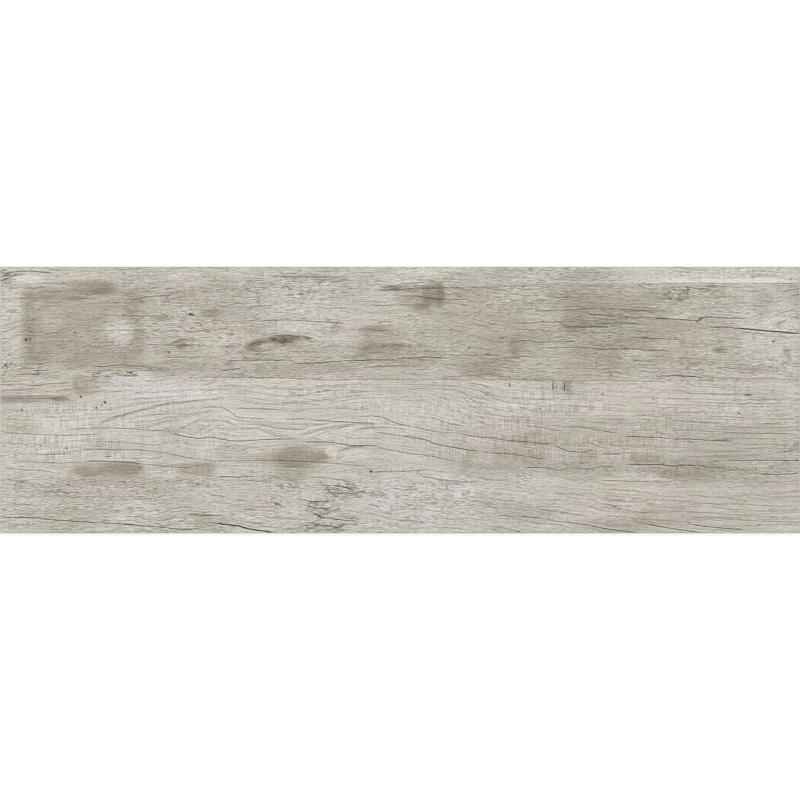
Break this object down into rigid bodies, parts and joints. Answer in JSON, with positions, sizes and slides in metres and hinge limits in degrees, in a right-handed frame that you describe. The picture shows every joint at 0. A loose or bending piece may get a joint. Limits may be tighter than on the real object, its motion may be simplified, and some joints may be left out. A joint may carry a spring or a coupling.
{
  "type": "wood look porcelain plank tile",
  "caption": "Rectified porcelain plank tile with a weathered oak look wear face, bevelled face arris and a keyed back for adhesive.",
  "frame": {"origin": "middle of the bed plane, which the crests of the back's ribs and its rim share", "axes": "+X along the plank, +Y across it, +Z out of the wear face"},
  "size_m": [1.2, 0.4, 0.01],
  "materials": {
    "wood_look_porcelain": "matte"
  },
  "bodies": {
    "root": {"plank_tile": "wood_look_porcelain"}
  },
  "joints": []
}
